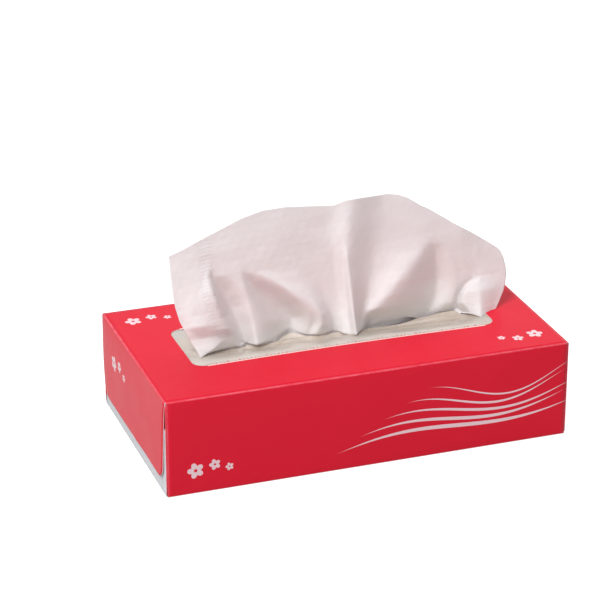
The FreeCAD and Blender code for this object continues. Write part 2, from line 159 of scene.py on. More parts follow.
@dataclass
class Sheets:
    """Grids gathered into one mesh: points, quads, sheet coordinates and material numbers."""

    points: list[Array] = field(default_factory=list)
    quads: list[Array] = field(default_factory=list)
    coordinates: list[Array] = field(default_factory=list)
    slots: list[Array] = field(default_factory=list)
    total: int = 0

    def add(self, x: Array, y: Array | float, z: Array | float, slot: int = 0, flip: bool = False,
            ring: bool = False, plan: Array | None = None) -> None:
        """Add one grid; x, y and z are spread over the same rows and columns.

        Args:
            x: place along the box, in millimetres.
            y: place across the box.
            z: level.
            slot: number of the material that the grid wears.
            flip: whether the faces are turned to look the other way.
            ring: whether each row closes on itself.
            plan: sheet coordinates in millimetres, rows by columns by 2; zero where left out.
        """
        grid = together(x, y, z)
        rows, columns = grid.shape[:2]
        quads = grid_quads(rows, columns, self.total, ring)
        self.points.append(grid.reshape(-1, 3))
        self.quads.append(quads[:, ::-1] if flip else quads)
        self.coordinates.append(
            np.zeros((rows * columns, 2)) if plan is None else plan.reshape(-1, 2))
        self.slots.append(np.full(len(quads), slot, np.int32))
        self.total += rows * columns

    def make(self, name: str, materials: Sequence[bpy.types.Material]) -> bpy.types.Object:
        """Turn the gathered grids into an object at the origin.

        Args:
            name: name of the piece.
            materials: its material slots, in order.

        Returns:
            The new object, linked to the scene.
        """
        points = np.concatenate(self.points) * MM
        quads = np.concatenate(self.quads)
        mesh = bpy.data.meshes.new(name)
        mesh.vertices.add(len(points))
        mesh.vertices.foreach_set("co", points.astype(np.float32).ravel())
        mesh.loops.add(quads.size)
        mesh.loops.foreach_set("vertex_index", quads.astype(np.int32).ravel())
        mesh.polygons.add(len(quads))
        mesh.polygons.foreach_set("loop_start", np.arange(0, quads.size, 4, dtype=np.int32))
        mesh.polygons.foreach_set("material_index", np.concatenate(self.slots))
        mesh.polygons.foreach_set("use_smooth", np.ones(len(quads), bool))
        layer = mesh.uv_layers.new(name="sheet")
        plan = np.concatenate(self.coordinates)[quads.ravel()] * MM
        layer.data.foreach_set("uv", plan.astype(np.float32).ravel())
        mesh.update(calc_edges=True)
        mesh.validate()
        for material in materials:
            mesh.materials.append(material)
        return linked(name, mesh)


def linked(name: str, data: bpy.types.ID) -> bpy.types.Object:
    """A new object with this mesh, camera or lamp, linked to the scene."""
    made = bpy.data.objects.new(name, data)
    bpy.context.scene.collection.objects.link(made)
    return made


def thicken(piece: bpy.types.Object, thickness: float, offset: float, inner: int = 0,
            rim: int = 0) -> None:
    """Give a sheet its thickness.

    Args:
        piece: the sheet.
        thickness: in millimetres.
        offset: -1 keeps the sheet as the outer face, 0 as the middle.
        inner: how many slots further on the inner face's material is.
        rim: how many slots further on the cut edge's material is.
    """
    solidify = piece.modifiers.new("thickness", "SOLIDIFY")
    solidify.thickness = thickness * MM
    solidify.offset = offset
    solidify.use_even_offset = False
    solidify.material_offset = inner
    solidify.material_offset_rim = rim


def close_poles(piece: bpy.types.Object) -> None:
    """Merge the points that meet at the middle of a closed end, and turn the faces outwards."""
    mesh = bmesh.new()
    mesh.from_mesh(piece.data)
    bmesh.ops.remove_doubles(mesh, verts=mesh.verts, dist=1e-6)
    bmesh.ops.recalc_face_normals(mesh, faces=mesh.faces)
    mesh.to_mesh(piece.data)
    mesh.free()


def ride(piece: bpy.types.Object, node: str) -> None:
    """Fix a piece to the one body, hide the solid that it stands for, and log its faces."""
    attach(piece, "root")
    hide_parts(node)
    log.info("%s: %d faces before modifiers", piece.name, len(piece.data.polygons))


# Shader maths


class Value:
    """A socket of a node tree, so that sums on it add Math nodes."""

    def __init__(self, shader: "Shader", socket: Any) -> None:
        """Wrap an output socket, or a plain number that a Math node's own socket will hold."""
        self.shader = shader
        self.socket = socket

    def _math(self, operation: str, *others: "Value | float") -> "Value":
        """One Math node on this value and the others."""
        inputs = dict(enumerate((self, *others)))
        return self.shader.node("ShaderNodeMath", {"operation": operation}, inputs)

    def __add__(self, other: "Value | float") -> "Value":
        """Sum."""
        return self._math("ADD", other)

    def __sub__(self, other: "Value | float") -> "Value":
        """Difference."""
        return self._math("SUBTRACT", other)

    def __rsub__(self, other: float) -> "Value":
        """A number minus this value."""
        return Value(self.shader, other)._math("SUBTRACT", self)

    def __mul__(self, other: "Value | float") -> "Value":
        """Product."""
        return self._math("MULTIPLY", other)

    __radd__ = __add__
    __rmul__ = __mul__

    def magnitude(self) -> "Value":
        """The value without its sign."""
        return self._math("ABSOLUTE")

    def sign(self) -> "Value":
        """Minus one, zero or one."""
        return self._math("SIGN")

    def sine(self) -> "Value":
        """Sine of an angle in radians."""
        return self._math("SINE")

    def angle(self, other: "Value") -> "Value":
        """Angle of the direction with this height and the other run."""
        return self._math("ARCTAN2", other)

    def root(self) -> "Value":
        """Square root."""
        return self._math("SQRT")

    def larger(self, other: "Value | float") -> "Value":
        """The larger of two."""
        return self._math("MAXIMUM", other)

    def smaller(self, other: "Value | float") -> "Value":
        """The smaller of two."""
        return self._math("MINIMUM", other)

    def rise(self, low: float, high: float) -> "Value":
        """0 up to low and 1 from high, smooth between."""
        settings = {"interpolation_type": "SMOOTHSTEP"}
        inputs = {"Value": self, "From Min": low, "From Max": high}
        return self.shader.node("ShaderNodeMapRange", settings, inputs)


class Shader:
    """The node tree of a material or of the world, with one method for every node."""

    def __init__(self, owner: bpy.types.Material | bpy.types.World) -> None:
        """Start with an empty tree."""
        owner.use_nodes = True
        self.owner = owner
        self.tree = owner.node_tree
        self.tree.nodes.clear()

    def node(self, kind: str, settings: dict[str, Any] | None = None,
             inputs: dict[Any, Any] | None = None, output: int | str = 0) -> Value:
        """Add a node.

        Args:
            kind: the node's type.
            settings: its attributes, all set before the sockets.
            inputs: for each socket by name or number, a Value to link or a plain value to set.
            output: which output to hand back.

        Returns:
            The chosen output, wrapped.
        """
        node = self.tree.nodes.new(kind)
        for key, value in (settings or {}).items():
            setattr(node, key, value)
        for key, value in (inputs or {}).items():
            plain = value.socket if isinstance(value, Value) else value
            if isinstance(plain, bpy.types.NodeSocket):
                self.tree.links.new(plain, node.inputs[key])
            else:
                node.inputs[key].default_value = plain
        return Value(self, node.outputs[output])

    def place(self, output: str = "Object") -> tuple[Value, Value, Value]:
        """Object or UV coordinates in millimetres, one value for each axis."""
        raw = self.node("ShaderNodeTexCoord", output=output)
        inputs = {0: raw, "Scale": 1.0 / MM}
        scaled = self.node("ShaderNodeVectorMath", {"operation": "SCALE"}, inputs)
        axes = (self.node("ShaderNodeSeparateXYZ", inputs={0: scaled}, output=i) for i in range(3))
        return tuple(axes)

    def vector(self, x: Value | float, y: Value | float, z: Value | float) -> Value:
        """Three values as one vector."""
        return self.node("ShaderNodeCombineXYZ", inputs={0: x, 1: y, 2: z})

    def noise(self, vector: Value, scale: float, detail: float = 2.0,
              roughness: float = 0.5) -> Value:
        """Soft noise between 0 and 1."""
        inputs = {"Vector": vector, "Scale": scale, "Detail": detail, "Roughness": roughness}
        return self.node("ShaderNodeTexNoise", inputs=inputs)

    def mixed(self, share: Value | float, first: Any, second: Any) -> Value:
        """Two colours mixed: the first where the share is 0, the second where it is 1."""
        pair = (one if isinstance(one, Value) else (*one, 1.0) for one in (first, second))
        inputs = dict(zip((0, 6, 7), (share, *pair)))
        return self.node("ShaderNodeMix", {"data_type": "RGBA"}, inputs, output=2)

    def bump(self, height: Value, distance: float, strength: float = 1.0) -> Value:
        """A Bump node: the height in units of the distance, which is in millimetres."""
        inputs = {"Height": height, "Distance": distance * MM, "Strength": strength}
        return self.node("ShaderNodeBump", inputs=inputs)

    def principled(self, inputs: dict[str, Any]) -> Value:
        """A Principled shader with these sockets."""
        return self.node("ShaderNodeBsdfPrincipled", inputs=inputs)

    def finish(self, surface: Value, kind: str = "ShaderNodeOutputMaterial") -> Any:
        """Send a shader to the output node and hand back the material or the world."""
        self.tree.links.new(surface.socket, self.tree.nodes.new(kind).inputs["Surface"])
        return self.owner


def material_tree(name: str) -> Shader:
    """The empty tree of a new material of this name."""
    return Shader(bpy.data.materials.new(name))


def from_srgb(*levels: int) -> Triple:
    """A linear colour from the red, green and blue that a screen shows, 0 to 255 each."""
    shares = (level / 255.0 for level in levels)
    return tuple(s / 12.92 if s <= 0.04045 else ((s + 0.055) / 1.055) ** 2.4 for s in shares)


# Finishes


@dataclass(frozen=True)
class PrintedBoard:
    """Coated boxboard printed crimson: pale waves along the long panels, blossoms, rubbed folds
    with a painted highlight.
    """

    length: float
    width: float
    height: float
    ink: Triple = from_srgb(222, 32, 55)
    ink_deep: Triple = from_srgb(216, 27, 50)
    line: Triple = from_srgb(236, 212, 218)
    # Pale pink along the folds: rubbed ink, partly a painted highlight of the folds.
    worn_ink_and_highlight: Triple = from_srgb(236, 120, 135)
    fibre: Triple = from_srgb(246, 214, 208)
    torn_half: float = 26.0
    torn_depth: float = 1.05
    torn_reach: float = 80.0
    top_band: Pair = (-1.0, -0.7)
    end_band: Pair = (-1.0, -0.8)
    long_band: Pair = (-1.2, -0.9)
    # Bands of the rubbed ink and painted highlight: top and end folds, upright folds, low folds.
    fold_band: Pair = (-1.0, -0.45)
    upright_band: Pair = (-1.75, -1.5)
    upright_wear_and_highlight: float = 0.35
    low_wear_and_highlight: float = 0.6
    wave_count: int = 5
    wave_right: float = 121.0
    wave_stagger: float = 6.0
    wave_turn: float = 1.75 * math.pi
    wave_start: Pair = (-22.0, 13.0)
    wave_phase: Pair = (0.4, 0.3)
    wave_swing: Pair = (5.0, 0.6)
    wave_climb: Pair = (17.0, -2.0)
    wave_level: Pair = (7.5, 6.4)
    wave_half: Pair = (1.25, -0.17)
    petals: int = 5
    petal_depth: float = 0.42
    eye_share: float = 0.2
    long_blossoms: tuple[Triple, ...] = ((-98.0, 13.5, 4.6), (-87.5, 15.5, 3.2), (-79.5, 13.0, 2.3))
    top_blossoms: tuple[Triple, ...] = ((-101.0, 44.0, 4.6), (-90.0, 46.5, 3.2), (-81.5, 43.5, 2.3))
    end_blossoms: tuple[Triple, ...] = ((34.0, 36.0, 4.6), (23.0, 38.5, 3.2), (14.5, 35.5, 2.3))

    def wave(self, index: int, x: Value, z: Value) -> Value:
        """One tapered line as a mask.

        It is a slow sine about its own rising level, and its half width is half a sine, which
        falls to nothing at both of its ends. Each pair among the sizes holds the first line's value
        and the change from one line to the next.
        """
        pairs = (self.wave_start, self.wave_phase, self.wave_swing, self.wave_climb,
                 self.wave_level, self.wave_half)
        start, phase, swing, climb, low, thick = (first + step * index for first, step in pairs)
        span = self.wave_right - self.wave_stagger * (index % 2) - start
        share = ((x - start) * (1.0 / span)).larger(0.0).smaller(1.0)
        centre = (share * self.wave_turn + phase).sine() * swing + share * climb + low
        half = (share * math.pi).sine() * thick
        return (half - (z - centre).magnitude()).rise(0.0, 0.2)

    def blossom(self, a: Value, b: Value, spot: Triple) -> Value:
        """A five-petalled blossom as a mask, from its centre and radius.

        The outline's radius swells and shrinks once for each petal, and the eye stays bare.
        """
        centre_a, centre_b, radius = spot
        off_a, off_b = a - centre_a, b - centre_b
        distance = (off_a * off_a + off_b * off_b).root()
        swing = (off_b.angle(off_a) * (self.petals / 2)).sine().magnitude()
        outline = swing * (self.petal_depth * radius) + (1.0 - self.petal_depth) * radius
        petals = (outline - distance).rise(-0.1, 0.14)
        return petals * (distance - self.eye_share * radius).rise(-0.08, 0.1)

    def printing(self, x: Value, y: Value, z: Value) -> Value:
        """Where the pale print lies: waves and blossoms, alike on opposite sides of the box."""
        on_long = (y.magnitude() - self.width / 2).rise(*self.long_band)
        on_top = (z - self.height).rise(*self.top_band)
        on_end = (x.magnitude() - self.length / 2).rise(*self.end_band)
        along, side = x * y.sign() * -1.0, x.sign() * -1.0
        near_x, near_y = x * side, y * side
        waves = [self.wave(index, along, z) for index in range(self.wave_count)]
        long_print = waves + [self.blossom(along, z, spot) for spot in self.long_blossoms]
        top_print = [self.blossom(near_x, near_y, spot) for spot in self.top_blossoms]
        end_print = [self.blossom(near_y, z, spot) for spot in self.end_blossoms]
        panels = ((on_long, long_print), (on_top, top_print), (on_end, end_print))
        return reduce(Value.larger, [reduce(Value.larger, masks) * on for on, masks in panels])

    def wear_and_highlight(self, x: Value, y: Value, z: Value) -> Value:
        """Where the ink is rubbed and a highlight is painted: along the folds, less on upright and
        low ones.
        """
        to_side = y.magnitude() - self.width / 2
        to_end = x.magnitude() - self.length / 2
        to_top = z - self.height
        return reduce(Value.larger, (
            (to_side + to_top).rise(*self.fold_band),
            (to_end + to_top).rise(*self.fold_band),
            (to_side + to_end).rise(*self.upright_band) * self.upright_wear_and_highlight,
            (to_side - z).rise(*self.fold_band) * self.low_wear_and_highlight,
        ))

    def torn(self, x: Value, y: Value, z: Value) -> Value:
        """Where the long edges of the opening show the board's fibres."""
        past = self.torn_half - y.magnitude()
        band = past.rise(-0.12, 0.1) * past.rise(self.torn_depth + 0.1, self.torn_depth - 0.1)
        on_top = (z - self.height).rise(*self.top_band)
        return band * (self.torn_reach - x.magnitude()).rise(0.0, 0.6) * on_top

    def make(self) -> bpy.types.Material:
        """The material of the printed outside."""
        shader = material_tree("printed_board")
        x, y, z = shader.place()
        where = shader.vector(x, y, z)
        fibres = shader.noise(where, 1.6, 3.0, 0.6)
        patches = shader.noise(where, 0.22, 4.0, 0.6)
        broken = (patches * 0.9 + fibres * 0.5).rise(0.42, 0.86)
        # Rubbed ink and painted highlight along the folds, broken up by patches; it also roughens
        # the board.
        wear_and_highlight = self.wear_and_highlight(x, y, z) * (broken * 0.75 + 0.2)
        colour = shader.mixed(shader.noise(where, 0.035, 3.0), self.ink, self.ink_deep)
        colour = shader.mixed(self.printing(x, y, z) * (fibres * 0.2 + 0.85), colour, self.line)
        colour = shader.mixed(wear_and_highlight, colour, self.worn_ink_and_highlight)
        relief = shader.noise(where, 0.16) + fibres * 0.12
        return shader.finish(shader.principled({
            "Base Color": shader.mixed(self.torn(x, y, z), colour, self.fibre),
            "Roughness": patches * 0.1 + 0.34 + wear_and_highlight * 0.25,
            "Specular IOR Level": 0.1,
            "Normal": shader.bump(relief, 0.05),
        }))


@dataclass(frozen=True)
class BareBoard:
    """Unprinted boxboard, off-white with grey fibres."""

    name: str = "bare_board"
    pale: Triple = from_srgb(222, 226, 230)
    grey: Triple = from_srgb(196, 198, 200)
    roughness: float = 0.75

    def make(self) -> bpy.types.Material:
        """The material of the unprinted faces or of a cut edge."""
        shader = material_tree(self.name)
        x, y, z = shader.place()
        fibres = shader.noise(shader.vector(x, y * 0.35, z), 2.2, 4.0, 0.65)
        specks = shader.noise(shader.vector(x, y, z), 0.5, 3.0)
        share = (fibres * 0.7 + specks * 0.5).rise(0.35, 0.95)
        return shader.finish(shader.principled({
            "Base Color": shader.mixed(share, self.pale, self.grey),
            "Roughness": fibres * 0.12 + (self.roughness - 0.06),
            "Normal": shader.bump(fibres, 0.03),
        }))


@dataclass(frozen=True)
class ClearFilm:
    """Thin clear film: hazy, glossy, with soft crinkles that catch the light."""

    half_width: float
    tint: Triple = from_srgb(246, 240, 231)
    # Darker beige of the painted shade towards the slit.
    slit_shade_colour: Triple = from_srgb(232, 218, 202)
    haze: float = 0.46
    haze_range: float = 0.14

    def make(self) -> bpy.types.Material:
        """The material of the window film, darkened towards the slit by painted shade."""
        shader = material_tree("clear_film")
        x, y, z = shader.place()
        crinkle = shader.noise(shader.vector(x * 0.5, y, z), 0.07, 1.0, 0.4)
        # Painted shade: strongest at the slit, fading out towards the opening's long edges.
        painted_slit_shade = y.magnitude().rise(self.half_width - 2.0, 3.0)
        return shader.finish(shader.principled({
            "Base Color": shader.mixed(painted_slit_shade, self.tint, self.slit_shade_colour),
            "Roughness": crinkle * 0.12 + 0.08,
            "IOR": 1.5,
            "Specular IOR Level": 0.7,
            "Coat Weight": 0.4,
            "Coat Roughness": 0.05,
            "Alpha": crinkle * self.haze_range + (self.haze - self.haze_range / 2),
            "Normal": shader.bump(crinkle, 0.5, 0.6),
        }))


@dataclass(frozen=True)
class TissuePaper:
    """Soft crimped paper that lets some light through, its crimp running across the sheet."""

    white: Triple = from_srgb(247, 246, 247)
    shade: Triple = from_srgb(238, 234, 235)
    through: Triple = from_srgb(246, 234, 232)
    glow: float = 0.2
    band_place: float = 84.0
    band_half: float = 4.0
    dash_pitch: float = 2.8
    dash_turn: float = 2.1

    def knurl(self, u: Value, v: Value) -> Value:
        """The bands of small pressed dashes that hold the two plies together near each side."""
        from_band = (u.magnitude() - self.band_place).magnitude()
        rows = ((v + (u * 1.4).sine() * 0.9) * (FULL_TURN / self.dash_pitch)).sine()
        dashes = rows * (u * self.dash_turn).sine()
        return dashes.rise(0.1, 0.6) * from_band.rise(self.band_half + 0.5, self.band_half - 0.5)

    def make(self) -> bpy.types.Material:
        """The material of the raised sheet."""
        shader = material_tree("tissue_paper")
        u, v, _ = shader.place("UV")
        where = shader.vector(u, v, 0.0)
        crimp = shader.noise(shader.vector(u * 0.25, v * 2.4, 0.0), 1.0, 3.0, 0.6)
        pulp = shader.noise(where, 0.9, 4.0, 0.6)
        cloud = shader.noise(where, 0.05)
        dimples = shader.noise(where, 0.26)
        relief = crimp * 0.25 + pulp * 0.35 - self.knurl(u, v) + dimples * 1.6
        normal = shader.bump(relief, 0.12, 0.9)
        paper = shader.principled({
            "Base Color": shader.mixed(cloud * 0.5 + pulp * 0.4, self.white, self.shade),
            "Roughness": pulp * 0.1 + 0.85,
            "Specular IOR Level": 0.2,
            "Sheen Weight": 0.15,
            "Sheen Roughness": 0.5,
            "Normal": normal,
        })
        light = {"Color": (*self.through, 1.0), "Normal": normal}
        through = shader.node("ShaderNodeBsdfTranslucent", inputs=light)
        mix = {0: self.glow, 1: paper, 2: through}
        return shader.finish(shader.node("ShaderNodeMixShader", inputs=mix))


@dataclass(frozen=True)
class StackedPaper:
    """The sheets of the stack: soft white, with painted shade in the lines of the folds along the
    sides.
    """

    top: float
    white: Triple = from_srgb(236, 230, 226)
    # Grey of the painted shade between the folded sheets.
    line: Triple = from_srgb(196, 188, 184)
    pitch: float = 0.9

    def make(self) -> bpy.types.Material:
        """The material of the stack."""
        shader = material_tree("stacked_paper")
        x, y, z = shader.place()
        wobble = shader.noise(shader.vector(x * 0.05, y * 0.05, z * 0.4), 1.0)
        # Painted shade in the gaps between the sheets along the sides, kept off the top.
        lines = ((z + wobble * 0.8) * (FULL_TURN / self.pitch)).sine().rise(0.35, 1.0)
        lines = lines * z.rise(self.top - 1.0, self.top - 2.5)
        pulp = shader.noise(shader.vector(x, y, z), 0.8, 4.0, 0.6)
        return shader.finish(shader.principled({
            "Base Color": shader.mixed(lines * 0.6 + pulp * 0.2, self.white, self.line),
            "Roughness": pulp * 0.1 + 0.85,
            "Specular IOR Level": 0.2,
            "Normal": shader.bump(pulp * 0.5 - lines * 0.6, 0.2, 0.8),
        }))


# The carton and what hangs from it


@dataclass(frozen=True)
class Opening:
    """The torn opening in the top panel, and the film that closes it from below."""

    half_length: float = 86.5
    half_width: float = 25.0
    corner: float = 6.5
    panel_under: float = 54.48
    sag: float = 3.4
    dip: float = 1.6
    pushed_at: float = 0.52
    pushed_spread: float = 0.34
    slit_half: float = 82.0
    slit_gap: float = 1.5
    slit_open: float = 2.2
    lap: float = 11.0

    def film_level(self, x: Array, y: Array) -> Array:
        """Level of the film: flat where glued, falling as a squared cosine to the slit."""
        share_x = np.clip(np.abs(x) / self.half_length, 0.0, 1.0)
        share_y = np.clip(np.abs(y) / self.half_width, 0.0, 1.0)
        sag = self.sag + self.dip * swell(x / self.half_length, self.pushed_at, self.pushed_spread)
        return self.panel_under - sag * (1.0 - share_x ** 6) * np.cos(QUARTER * share_y) ** 2

    def lip(self, x: Array, front: bool) -> Array:
        """Place across the box of one lip of the slit, closing at the slit's ends."""
        share = np.clip(x / self.slit_half, -1.0, 1.0)
        closing = np.sqrt(np.clip(1.0 - share ** 8, 0.0, 1.0))
        if front:
            opened = self.slit_open * swell(share, self.pushed_at, self.pushed_spread)
            return -(self.slit_gap + opened) * closing
        return self.slit_gap * closing


@dataclass
class Carton:
    """The folded carton: top panel with its torn opening, the other panels, and the end flaps."""

    length: float
    width: float
    height: float
    opening: Opening
    board: float = 0.46
    ply_gap: float = 0.18
    crease: float = 1.1
    end_crease: float = 0.6
    end_play: float = 0.2
    outer_foot: float = 8.0
    outer_shoulder: float = 2.2
    outer_inset: float = 5.6
    outer_corner: float = 7.0
    outer_flare: float = 0.8
    outer_puff: float = 0.35
    outer_lean: Pair = (0.8, 0.2)
    inner_height: float = 38.0
    inner_inset: float = 1.4
    dust_reach: float = 48.0
    dust_inset: float = 1.7
    glue_lap: float = 14.0
    tooth_pitch: float = 2.2
    tooth_height: float = 1.5
    tooth_places: tuple[float, ...] = (0.0, 0.28, 0.40, 0.56, 0.70)
    tooth_shape: tuple[float, ...] = (0.0, 0.0, 1.0, 0.9, 0.0)
    border_turn: float = 0.93
    front_bow: float = 0.6
    far_bulge: float = 1.1
    strip_rise: float = 1.1
    bare_slot: int = 3
    corner_reach: float = 0.2
    panel_ripples: Ripples = Ripples(5, 70.0, 0.10)

    @property
    def layer(self) -> float:
        """One layer of board with its glue line."""
        return self.board + self.ply_gap

    @property
    def fold_reach(self) -> float:
        """How far out the folds of the inner flaps stand, past the flaps themselves."""
        return self.length / 2 - self.end_play

    def top_rise(self, x: Array, y: Array) -> Array:
        """How far the top panel stands above its level: its strips beside the opening bow up."""
        along = np.cos(np.clip(np.abs(x) / (self.length / 2), 0, 1) * QUARTER) ** 1.5
        half_width = self.width / 2
        from_fold = (half_width - np.abs(y)) / (half_width - self.opening.half_width)
        side = np.where(y < 0, 1.0, 0.45)
        return self.strip_rise * side * along * smoothstep(from_fold, 0.0, 1.0)

    def edge_points(self, count: int) -> tuple[Array, Array, Array]:
        """Once round the opening; its back and left are its front and right, turned half round.

        Args:
            count: points along each short end and round each corner.

        Returns:
            The opening's edge, the panel's border opposite each of its points, and how far each
            point of the edge stands into the opening as a torn nick, all in millimetres.
        """
        hole, radius = self.opening, self.opening.corner
        straight, side = hole.half_length - radius, hole.half_width - radius
        border_x, border_y = self.length / 2 - self.crease, self.width / 2 - self.crease
        near_x, near_y = border_x * self.border_turn, border_y * self.border_turn
        nicks = int(round(2 * straight / self.tooth_pitch))
        along = (np.arange(nicks)[:, None] + np.array(self.tooth_places)).ravel() / nicks
        uneven = np.random.default_rng(11).uniform(0.55, 1.25, (nicks, 1))
        heights = (np.array(self.tooth_shape) * uneven).ravel()
        shares = np.arange(count) / count
        ahead, aside = radius * np.sin(shares * QUARTER), radius * np.cos(shares * QUARTER)

        def bent(*route: Pair) -> Array:
            """Points along a route of three places, the middle one reached half way."""
            return together(*(np.interp(shares, (0.0, 0.5, 1.0), axis) for axis in zip(*route)))

        inner = np.concatenate([
            between((-straight, -hole.half_width), (straight, -hole.half_width), along),
            together(straight + ahead, -side - aside),
            between((hole.half_length, -side), (hole.half_length, side), shares),
            together(straight + aside, side + ahead),
        ])
        outer = np.concatenate([
            between((-near_x, -border_y), (near_x, -border_y), along),
            bent((near_x, -border_y), (border_x, -border_y), (border_x, -near_y)),
            between((border_x, -near_y), (border_x, near_y), shares),
            bent((border_x, near_y), (border_x, border_y), (near_x, border_y)),
        ])
        nick = np.concatenate([heights, np.zeros(3 * count)])
        return np.concatenate([inner, -inner]), np.concatenate([outer, -outer]), np.tile(nick, 2)

    def top_panel(self, sheets: Sheets) -> None:
        """The top panel: rings of points from the torn edge of the opening out to the folds."""
        inner, outer, nick = self.edge_points(12)
        shares = np.array([0.0, 0.012, 0.05, 0.15, 0.3, 0.5, 0.7, 0.86, 0.95, 1.0])
        rings = inner + (outer - inner) * shares[:, None, None]
        rings[0, :, 1] -= np.sign(inner[:, 1]) * nick * self.tooth_height
        x, y = rings[..., 0], rings[..., 1]
        sheets.add(x, y, self.height + self.top_rise(x, y), ring=True, flip=True)

    def sleeve(self, sheets: Sheets) -> None:
        """Front, bottom and back panels with their folds, one profile carried along the box."""
        half_width, radius = self.width / 2, self.crease
        shape = (half_width, 0.0, self.height, radius)
        upright = np.linspace(self.height - radius, radius, 14)[1:-1]
        bottom = np.linspace(-half_width + radius, half_width - radius, 14)[1:-1]
        profile = np.concatenate([
            section_corner(*shape, 90), together(-half_width, upright, axis=0),
            section_corner(*shape, 180), together(bottom, 0.0, axis=0),
            section_corner(*shape, 270), together(half_width, upright[::-1], axis=0),
            section_corner(*shape, 0),
        ], axis=1)
        y, z = profile[:, :, None]
        end = self.fold_reach - self.end_crease
        in_corner = (z > self.height - radius) & (np.abs(y) > half_width - radius)
        x = np.linspace(-1.0, 1.0, 90) * (end + np.where(in_corner, self.corner_reach, 0.0))
        swing = np.sin(math.pi * np.clip(z / self.height, 0, 1))
        bow = self.front_bow * np.cos(x / self.length * math.pi) * swing ** 1.2
        uneven = self.panel_ripples(x, z) * swing * smoothstep(end - np.abs(x), 0.0, 12.0)
        side = np.sign(y) * smoothstep(np.abs(y), half_width - 0.6, half_width)
        sheets.add(x, y + side * (bow + uneven), z, flip=True)

    def outer_flap(self, sheets: Sheets, side: int) -> None:
        """The outer end flap, hung from the top panel, tapered, with rounded lower corners.

        It bulges as a cosine across and a sine downwards, leans out as the square of the drop, and
        the left one's back half bulges further.
        """
        radius, crease, reach = self.outer_corner, self.crease, self.length / 2
        straight = self.height - crease - self.outer_foot
        ahead, aside = quarter(radius)
        upper = np.linspace(0.0, straight - radius, 12)
        rows = np.concatenate([upper, straight - radius + ahead[1:]])
        rounding = np.concatenate([np.zeros(len(upper)), aside[1:]])
        half_top = self.width / 2 - self.outer_shoulder
        half_foot = self.width / 2 - self.outer_inset
        flare = self.outer_shoulder * self.outer_flare * (1.0 - smoothstep(rows, 0.0, 6.0))
        half = half_top + (half_foot - half_top) * rows / straight + flare - rounding
        ahead, aside = quarter(crease)
        out = np.concatenate([reach - crease + ahead, np.full(len(rows) - 1, reach)])
        z = np.concatenate([self.height - aside, self.height - crease - rows[1:]])[:, None]
        half = np.concatenate([np.full(len(ahead), half[0]), half[1:]])
        y = np.linspace(-1.0, 1.0, 34) * half[:, None]
        hang = np.clip((self.height - z) / self.height, 0, 1)
        bulge = np.sin(math.pi * np.clip(hang * 1.15, 0, 1))
        puff = self.outer_puff * np.cos(y / self.width * math.pi) * bulge
        puff = puff + self.outer_lean[side > 0] * hang ** 2
        puff = puff + Ripples(8 + side, 45.0, 0.09)(y, z) * np.clip(hang * 4, 0, 1)
        if side < 0:
            far = np.sin(math.pi * hang ** 0.7) * smoothstep(y, -30.0, 52.0)
            puff = puff + self.far_bulge * far
        sheets.add(side * (out[:, None] + puff), y, z, flip=side > 0)

    def end_fold(self, past: Array, out: Array) -> tuple[Array, Array]:
        """The path of a flap under the outer one: a quarter turn about its fold, then the flap.

        Args:
            past: how far past the fold each row of the flap lies.
            out: how far from the middle of the box each of them stands.

        Returns:
            Distance from the middle and distance past the fold of every row, as columns.
        """
        ahead, aside = quarter(self.end_crease)
        out = np.concatenate([self.fold_reach - self.end_crease + ahead, out])
        return out[:, None], np.concatenate([aside, past])[:, None]

    def inner_flap(self, sheets: Sheets, side: int) -> None:
        """The unprinted flap under the outer one, folded up from the bottom panel."""
        low = np.linspace(self.end_crease, self.outer_foot, 9)[1:]
        up = np.concatenate([low, np.linspace(11.0, self.inner_height, 6)])
        leaning = self.ply_lean(1, smoothstep(up, 1.5, self.outer_foot - 0.8))
        out, level = self.end_fold(up, leaning)
        half = self.width / 2 - self.inner_inset - 0.8 * smoothstep(level, 0.0, self.inner_height)
        y = np.linspace(-1.0, 1.0, 24) * half
        sheets.add(side * out, y, level, slot=self.bare_slot, flip=side < 0)

    def dust_flap(self, sheets: Sheets, side: int, face: int) -> None:
        """The small innermost flap, folded in from the front (-1) or back (1) panel."""
        near = np.linspace(self.end_crease, 2.6, 6)[1:]
        inward = np.concatenate([near, np.linspace(8.0, self.dust_reach, 6)])
        settling = self.ply_lean(2, 1.0 - smoothstep(inward, 2.5, self.end_crease))
        out, depth = self.end_fold(inward, settling)
        levels = np.linspace(self.dust_inset, self.height - self.dust_inset, 8)
        sheets.add(side * out, face * (self.width / 2 - depth), levels, flip=side * face < 0)

    def ply_lean(self, plies: int, share: Array) -> Array:
        """From the fold, 0, to where a flap rests under this many layers, 1."""
        return self.fold_reach + (self.length / 2 - plies * self.layer - self.fold_reach) * share

    def lap(self, sheets: Sheets) -> None:
        """The lap glued inside the back panel."""
        end = self.length / 2 - 4 * self.crease
        x = np.linspace(-end, end, 40)[:, None]
        level = np.linspace(self.board, self.glue_lap, 6)
        sheets.add(x, self.width / 2 - self.layer - 0.1, level, slot=self.bare_slot)

    def build(self, printed: bpy.types.Material, bare: bpy.types.Material,
              edge: bpy.types.Material) -> None:
        """Make the whole carton as one folded sheet of board.

        Args:
            printed: finish of the outside.
            bare: finish of the inside and of the inner flaps.
            edge: finish of the cut edges.
        """
        sheets = Sheets()
        self.top_panel(sheets)
        self.sleeve(sheets)
        for side in (-1, 1):
            self.outer_flap(sheets, side)
            self.inner_flap(sheets, side)
            for face in (-1, 1):
                self.dust_flap(sheets, side, face)
        self.lap(sheets)
        piece = sheets.make("carton_folded", [printed, bare, edge, bare, bare, edge])
        thicken(piece, self.board, -1.0, inner=1, rim=2)
        ride(piece, "carton")


